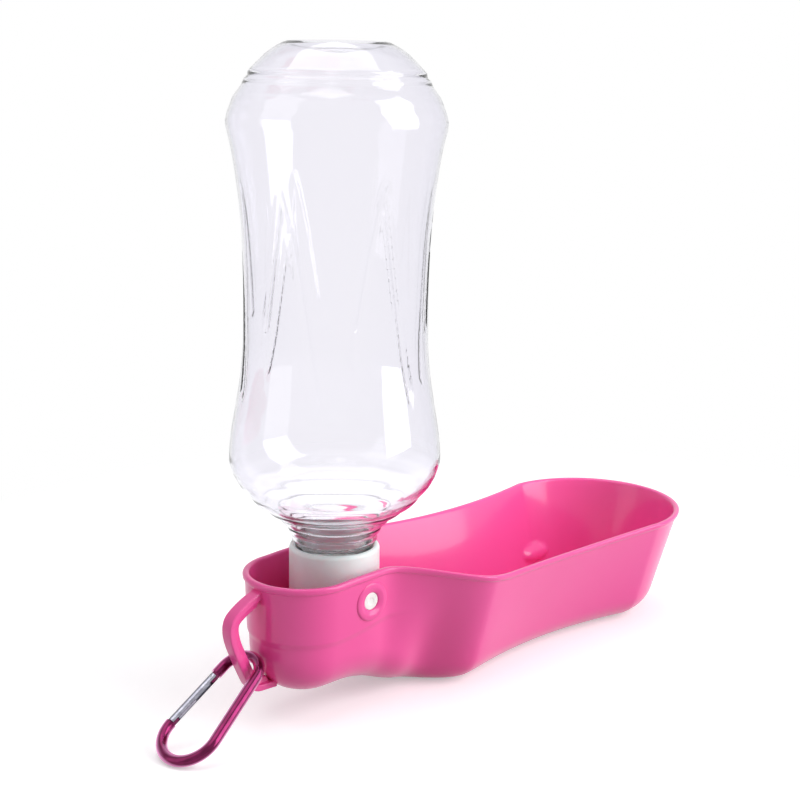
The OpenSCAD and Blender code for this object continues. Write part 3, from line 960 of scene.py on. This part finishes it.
def cut_through(piece: bpy.types.Object, points: Array, faces: Array) -> None:
    """Cuts a closed shape out of a piece and keeps the result as its mesh.

    Args:
        piece: the object to cut.
        points: the cutter's points in millimetres.
        faces: the cutter's faces.
    """
    mesh = clean_mesh("cutter", points, faces)
    cutter = add_object("cutter", mesh)
    modifier = piece.modifiers.new("cut", "BOOLEAN")
    modifier.operation = "DIFFERENCE"
    modifier.solver = "EXACT"
    modifier.object = cutter
    depsgraph = bpy.context.evaluated_depsgraph_get()
    result = bpy.data.meshes.new_from_object(piece.evaluated_get(depsgraph))
    piece.modifiers.clear()
    old = piece.data
    result.name = old.name
    piece.data = result
    bpy.data.meshes.remove(old)
    bpy.data.objects.remove(cutter)
    bpy.data.meshes.remove(mesh)


# ---- Bottle ----


@dataclass(frozen=True)
class Bottle:
    """The clear squeeze bottle, with heights counted from the fold axis."""

    lip_up: float = 4.85
    neck_r: float = 13.55
    bore_r: float = 10.85
    wall: float = 0.8
    groove_top: float = 137.1
    groove_end: float = 72.0
    groove_count: int = 6
    groove_turn: float = -104.0
    groove_half: float = 1.6
    groove_depth: float = 0.8
    groove_curve: float = 0.9
    groove_slant: float = 0.94
    # Spread of a groove's legs in degrees, and their share of the full length
    groove_legs: Table = ((22.0, 1.0), (-21.0, 0.65))
    ring_swell: float = 0.6
    ring_power: float = 0.8
    ring_rows: int = 10
    crown_rows: int = 44
    base_groove_z: float = 172.7
    base_groove_depth: float = 0.8
    base_groove_run: float = 0.8
    bore_top: float = 15.5
    inside_start: float = 17.0
    steps: int = 312

    # Heights of the neck's rows, then the radius and height where it ends
    neck_rows: tuple[float, ...] = (7.5, 11.5, 16.5)
    neck_end: Pair = (13.6, 16.8)
    # Height and radius of the notches between the shoulder's rings
    notches: Table = (
        (17.0, 13.9), (19.8, 14.4), (23.1, 16.1), (27.1, 19.6), (30.4, 24.7), (34.7, 29.5))
    # Height and radius of the round shoulder and along the long waist
    waist: Table = (
        (34.7, 29.5), (38.7, 32.9), (42.9, 34.9), (46.5, 35.8), (54.3, 35.2), (65.4, 33.4),
        (76.4, 31.7), (87.3, 30.8), (102.5, 30.6), (119.3, 30.9), (129.5, 31.6), (140.1, 32.8),
        (150.3, 34.4), (156.5, 35.8), (158.3, 36.0))
    # From and to which height the waist has how many rows
    waist_rows: tuple[tuple[float, float, int], ...] = (
        (34.7, 69.5, 34), (69.5, 141.5, 56), (141.5, 158.3, 16))
    # Height and radius of the crown, from the widest ring to the base
    crown: Table = (
        (158.3, 36.0), (160.7, 35.5), (163.1, 34.6), (165.7, 33.6), (168.1, 31.9), (170.1, 30.6),
        (172.9, 29.5), (174.9, 27.8), (177.5, 25.2), (180.1, 22.4), (182.1, 19.4), (183.1, 17.4))
    # Radius and height of the base, from its foot ring over the shallow dish to its middle
    base: Table = (
        (16.4, 183.45), (15.4, 183.5), (14.2, 183.4), (12.8, 182.8), (11.0, 182.1), (8.0, 181.6),
        (4.0, 181.4), (1.6, 181.4), (1.2, 181.8), (0.6, 182.0), (0.0, 182.0))

    def profile(self) -> Array:
        """Outer profile from the lip to the middle of the base.

        The shoulder's rings swell between their notches by a power of a half sine, the waist and
        crown follow their knots, and a hill is taken off where the groove under the base runs.

        Returns:
            Rows of radius and height.
        """
        neck = [(self.neck_r, z) for z in (self.lip_up, *self.neck_rows)]
        parts = [np.array([*neck, self.neck_end])]
        t = np.linspace(0, 1, self.ring_rows)[:-1, None]
        for (z0, r0), (z1, r1) in zip(self.notches[:-1], self.notches[1:]):
            out = np.array([z1 - z0, r0 - r1]) / math.hypot(z1 - z0, r1 - r0)
            swell = self.ring_swell * np.sin(np.pi * t) ** self.ring_power
            parts.append(mix(np.array([r0, z0]), np.array([r1, z1]), t) + swell * out)
        z = np.concatenate([np.linspace(low, high, rows, endpoint=False)
                            for low, high, rows in self.waist_rows])
        parts.append(np.stack([smooth_curve(self.waist, z), z], axis=-1))
        z = np.linspace(self.crown[0][0], self.crown[-1][0], self.crown_rows)
        groove = hill((z - self.base_groove_z) / self.base_groove_run)
        r = smooth_curve(self.crown, z) - self.base_groove_depth * groove
        parts.append(np.stack([r, z], axis=-1))
        return np.concatenate([*parts, self.base])

    def grooves(self, angle: Array, z: Array, radius: Array) -> Array:
        """Depth of the moulded grooves: pairs of legs that spread from points near the base.

        A leg's angle grows by a power of its fall. The depth eases from full on the leg to zero
        at groove_half away from it, and the deepest leg counts.

        Args:
            angle: angle round the bottle in radians.
            z: heights from the fold axis.
            radius: plain radius at each height.

        Returns:
            How far the surface is pushed in.
        """
        pitch = 2 * np.pi / self.groove_count
        turn = np.mod(angle - math.radians(self.groove_turn) + pitch / 2, pitch) - pitch / 2
        depth = np.zeros_like(turn * z)
        run = self.groove_top - self.groove_end
        for spread, length in self.groove_legs:
            clamped = np.clip(z, self.groove_top - run * length, self.groove_top)
            fall = (self.groove_top - clamped) / run
            lean = math.radians(spread) * fall**self.groove_curve
            distance = np.hypot((turn - lean) * radius * self.groove_slant, z - clamped)
            depth = np.maximum(depth, self.groove_depth * (1 - ease(distance / self.groove_half)))
        return depth

    def surfaces(self) -> tuple[Array, Array]:
        """Builds the outer and inner surface, joined at the lip.

        Both are profiles turned about the bottle's axis, less the grooves' depth. The inner one
        is the outer one moved in by the wall, square to it, with a plain bore in the neck.

        Returns:
            Points and quads.
        """
        steps = self.steps
        angle = np.linspace(0, 2 * np.pi, steps, endpoint=False)[None, :]
        outer = self.profile()
        # the inside follows every second row of the outside, from the neck's end on
        inner = outer[len(self.neck_rows) + 1 :: 2]
        lean = np.gradient(inner, axis=0)
        lean /= np.linalg.norm(lean, axis=1, keepdims=True)
        inner = inner + self.wall * np.stack([-lean[:, 1], lean[:, 0]], axis=-1)
        inner = inner[(inner[:, 0] > 0) & (inner[:, 1] > self.inside_start)]
        inner = np.concatenate([[(self.bore_r, self.lip_up), (self.bore_r, self.bore_top)], inner,
                                [(0.0, inner[-1, 1])]])
        points, faces, start = [], [], 0
        for profile in (outer, inner):
            r, z = profile[:, :1], profile[:, 1:]
            depth = self.grooves(angle, z * np.ones_like(angle), r)
            r = r * np.ones_like(angle) - depth
            ring = np.stack([r * np.cos(angle), r * np.sin(angle), z * np.ones_like(angle)],
                            axis=-1)
            points.append(ring.reshape(-1, 3) + np.array(LAYOUT.pivot))
            faces.append(quads(len(profile), steps, close_cols=True, start=start))
            start += len(profile) * steps
        i = np.arange(steps)
        j = (i + 1) % steps
        k = len(outer) * steps
        faces.append(np.stack([i, j, k + j, k + i], axis=-1))
        return np.concatenate(points), np.concatenate(faces)

    def build(self, material: Material) -> None:
        """Makes the bottle's object.

        Args:
            material: the bottle's clear plastic.
        """
        piece = make_object("clear_bottle", *self.surfaces(), Body.BOTTLE, Slot.BOTTLE, material,
                            sharp=60)
        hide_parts("bottle")


# ---- Cap and pins ----


@dataclass(frozen=True)
class Cap:
    """The white cap with its spout and the two pins, measured from the fold axis."""

    radius: float = 15.6
    bore_r: float = 13.85
    up: float = 16.0
    web_up: float = 3.3
    web_down: float = 5.5
    down: float = 15.5
    spout_r: float = 10.2
    spout_bore_r: float = 8.2
    way_r: float = 5.0
    seat: float = -11.0
    lug_r: float = 5.4
    lug_out: float = 1.0
    lug_start: float = 2.4
    lug_bore_start: float = 3.6
    pin_grip: float = 5.0
    pin_recess: float = 0.7
    edge_in: float = 0.7
    edge_down: float = 1.0
    dimple_r: float = 1.3
    dimple_floor_r: float = 1.1
    dimple_edge: float = 0.18
    dimple_deep: float = 0.2

    def shell(self) -> tuple[Array, Array]:
        """Builds the turned body of the cap: skirt, web and spout in one section.

        Returns:
            Points and quads.
        """
        corners = [
            (self.way_r, self.web_up), (self.bore_r, self.web_up), (self.bore_r, self.up),
            (self.radius - self.edge_in, self.up), (self.radius, self.up - self.edge_down),
            (self.radius, -self.web_down), (self.spout_r, -self.web_down),
            (self.spout_r, -self.down), (self.spout_bore_r, -self.down),
            (self.spout_bore_r, self.seat), (self.way_r, self.seat)]
        outline = rounded(corners, radius=0.55, steps=5)
        return lathe(outline, steps=160, centre=LAYOUT.pivot, closed=True)

    def lug(self, axis: str) -> tuple[Array, Array]:
        """Builds the round lug that holds one pin, hollow where the pin sits.

        Args:
            axis: 'y' for the left side or '-y' for the right.

        Returns:
            Points and quads.
        """
        root, face = self.radius + self.lug_out - self.pin_grip, self.radius + self.lug_out
        profile = rounded([(LAYOUT.pin_r, root + self.lug_bore_start), (LAYOUT.pin_r, face),
                           (self.lug_r, face), (self.lug_r, root + self.lug_start)],
                          radius=0.3, closed=False)
        return lathe(profile, steps=72, centre=LAYOUT.pivot, axis=axis)

    def pin(self, axis: str) -> tuple[Array, Array]:
        """Builds one pin with a rounded rim and a shallow gate dimple in its end.

        Args:
            axis: 'y' for the left side or '-y' for the right.

        Returns:
            Points and quads.
        """
        root = self.radius + self.lug_out - self.pin_grip
        face = LAYOUT.boss_face - self.pin_recess
        profile = rounded([(0.0, root), (LAYOUT.pin_r, root), (LAYOUT.pin_r, face),
                           (self.dimple_r, face), (self.dimple_floor_r, face - self.dimple_edge),
                           (0.0, face - self.dimple_deep)], radius=0.3, closed=False)
        return lathe(profile, steps=72, centre=LAYOUT.pivot, axis=axis)

    def build(self, plastic: Material, acetal: Material) -> None:
        """Makes the cap's and the pins' objects.

        Args:
            plastic: the cap's material.
            acetal: the pins' material.
        """
        cap = make_object("screw_cap", *self.shell(), Body.CAP, Slot.CAP, plastic)
        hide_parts("cap")
        for side, axis in (("left", "y"), ("right", "-y")):
            make_object(f"cap_lug_{side}", *self.lug(axis), Body.CAP, Slot.CAP, plastic)
            pin = make_object(f"pin_{side}", *self.pin(axis), Body.CAP, Slot.PIN, acetal)
            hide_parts(f"pivot_pin_{side}")


# ---- Stage ----


@dataclass(frozen=True)
class View:
    """The camera.

    Attributes:
        place: where it stands, in millimetres.
        heading: the level direction it faces, as X and Y.
        pitch: how far it looks down, in degrees.
        roll: how far it leans about its line of sight, in degrees.
        focal: focal length in picture points.
        frame: width of the picture in the same points.
        sensor: width of the sensor in millimetres.
        near: nearest distance that is drawn, in metres.
    """

    place: Triple = (-394.6, -346.7, 212.8)
    heading: Pair = (0.6947, 0.7193)
    pitch: float = 12.8
    roll: float = 1.0
    focal: float = 1404.0
    frame: float = 800.0
    sensor: float = 36.0
    near: float = 0.01

    def build(self) -> None:
        """Makes the scene's camera."""
        p, r = math.radians(self.pitch), math.radians(self.roll)
        hx, hy = self.heading
        ahead = Vector((math.cos(p) * hx, math.cos(p) * hy, -math.sin(p))).normalized()
        right = Vector((hy, -hx, 0.0)).normalized()
        above = right.cross(ahead)
        image_right = math.cos(r) * right + math.sin(r) * above
        image_up = -math.sin(r) * right + math.cos(r) * above
        turn = Matrix((image_right, image_up, -ahead)).transposed().to_4x4()
        data = bpy.data.cameras.new("camera")
        data.sensor_width = self.sensor
        data.lens = self.focal / self.frame * self.sensor
        data.clip_start = self.near
        camera = add_object("camera", data)
        camera.matrix_world = Matrix.Translation(Vector(self.place) * MM) @ turn
        bpy.context.scene.camera = camera


@dataclass(frozen=True)
class Softbox:
    """One soft lamp.

    Attributes:
        name: the lamp's name.
        place: where it hangs, in metres.
        target: what it aims at, in metres.
        size: width and height in metres.
        power: power in watts.
    """

    name: str
    place: Triple
    target: Triple
    size: Pair
    power: float

    def build(self) -> None:
        """Makes the lamp."""
        data = bpy.data.lights.new(self.name, "AREA")
        data.shape = "RECTANGLE"
        data.size, data.size_y = self.size
        data.energy = self.power
        lamp = add_object(self.name, data)
        lamp.location = self.place
        aim = Vector(self.target) - Vector(self.place)
        lamp.rotation_euler = aim.to_track_quat("-Z", "Y").to_euler()


LAMPS = (
    Softbox("left_softbox", (-1.3, 0.45, 0.75), (-0.05, 0.0, 0.08), (0.9, 1.7), 5.0),
    Softbox("right_softbox", (0.68, -1.2, 0.66), (-0.05, 0.0, 0.08), (1.0, 1.8), 28.5),
    Softbox("top_softbox", (-0.05, 0.15, 1.5), (-0.05, 0.0, 0.0), (1.3, 1.3), 11.0),
)

# The floor: half its side in millimetres, its grey, and where it fades to white, in metres
FLOOR_HALF = 4000.0
FLOOR_GREY = 0.82
FLOOR_FADE = (0.18, 0.3)


def seen_rays(nodes: Nodes) -> Socket:
    """Tells whether a ray shows its surroundings, rather than lights something by them.

    Args:
        nodes: the tree that asks.

    Returns:
        The socket, one for a ray of a kind in SEEN_RAYS and else zero.
    """
    path = nodes.add("ShaderNodeLightPath")
    total = path[SEEN_RAYS[0]]
    for kind in SEEN_RAYS[1:]:
        total = nodes.add("ShaderNodeMath", {0: total, 1: path[kind]}, operation="MAXIMUM")[0]
    return total


def build_world(ambient: float) -> None:
    """Makes the white surroundings: white where they are seen, softer where they only light.

    Args:
        ambient: how strongly they light.
    """
    world = bpy.data.worlds.new("studio")
    bpy.context.scene.world = world
    world.use_nodes = True
    nodes = Nodes(world.node_tree)
    seen = nodes.add("ShaderNodeBackground", {"Color": WHITE})[0]
    light = nodes.add("ShaderNodeBackground", {
        "Color": linear(AMBIENT_COLOUR), "Strength": ambient})[0]
    both = nodes.add("ShaderNodeMixShader", {0: seen_rays(nodes), 1: light, 2: seen})[0]
    nodes.add("ShaderNodeOutputWorld", {"Surface": both})


def build_floor(lift: float, bounce: float) -> None:
    """Makes the pale floor: it keeps the object's shadow and fades to plain white further off.

    Args:
        lift: light added near the object, so that the lit floor comes out white.
        bounce: how much of the light the floor throws back onto the object.
    """
    points = np.array([(-1, -1, 0), (1, -1, 0), (1, 1, 0), (-1, 1, 0)]) * FLOOR_HALF
    mesh = bpy.data.meshes.new("floor")
    mesh.from_pydata((points * MM).tolist(), [], [(0, 1, 2, 3)])
    material = bpy.data.materials.new("floor_white")
    material.use_nodes = True
    nodes = Nodes(material.node_tree)
    matt = nodes.add("ShaderNodeBsdfDiffuse", {
        "Color": (FLOOR_GREY, FLOOR_GREY, FLOOR_GREY, 1)})[0]
    dim = nodes.add("ShaderNodeBsdfDiffuse", {"Color": (bounce, bounce, bounce, 1)})[0]
    glow = nodes.add("ShaderNodeEmission", {"Strength": lift})[0]
    white = nodes.add("ShaderNodeEmission", {"Strength": 1.0})[0]
    near = nodes.add("ShaderNodeAddShader", {0: matt, 1: glow})[0]
    place = nodes.add("ShaderNodeTexCoord")["Object"]
    reach = nodes.add("ShaderNodeVectorMath", {0: place}, operation="LENGTH")["Value"]
    fade = nodes.add("ShaderNodeMapRange", {
        "Value": reach, "From Min": FLOOR_FADE[0], "From Max": FLOOR_FADE[1]},
        interpolation_type="SMOOTHSTEP")["Result"]
    seen = nodes.add("ShaderNodeMixShader", {0: fade, 1: near, 2: white})[0]
    both = nodes.add("ShaderNodeMixShader", {0: seen_rays(nodes), 1: dim, 2: seen})[0]
    nodes.add("ShaderNodeOutputMaterial", {"Surface": both})
    mesh.materials.append(material)
    floor = add_object("floor", mesh)


# ---- Main ----


def paint_nodes(names: Iterable[str], material: Material) -> None:
    """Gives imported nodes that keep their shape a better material.

    Args:
        names: the nodes' names.
        material: what they are made of.
    """
    for name in names:
        node = bpy.data.objects[name]
        node.data.materials.clear()
        node.data.materials.append(material)
        LOG.info("%s keeps its shape and is made of %s", name, material.name)


def main() -> None:
    """Builds the pieces in order, then the stage."""
    logging.basicConfig(level=logging.INFO)
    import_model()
    trough_pp = solid_material(TROUGH_PP)
    cap_pp = solid_material(CAP_PP)
    Trough().build(trough_pp)
    Bottle().build(clear_material(CLEAR_PLASTIC))
    Cap().build(cap_pp, solid_material(PIN_POM))
    paint_nodes(["valve_retainer"], cap_pp)
    for names, finish in PACKED_LOOKS:
        paint_nodes(names, solid_material(finish))
    build_floor(lift=0.38, bounce=0.5)
    build_world(ambient=0.25)
    for lamp in LAMPS:
        lamp.build()
    View().build()
    bpy.context.scene.view_settings.view_transform = "Standard"
    LOG.info("scene ready")


if __name__ == "__main__":
    main()
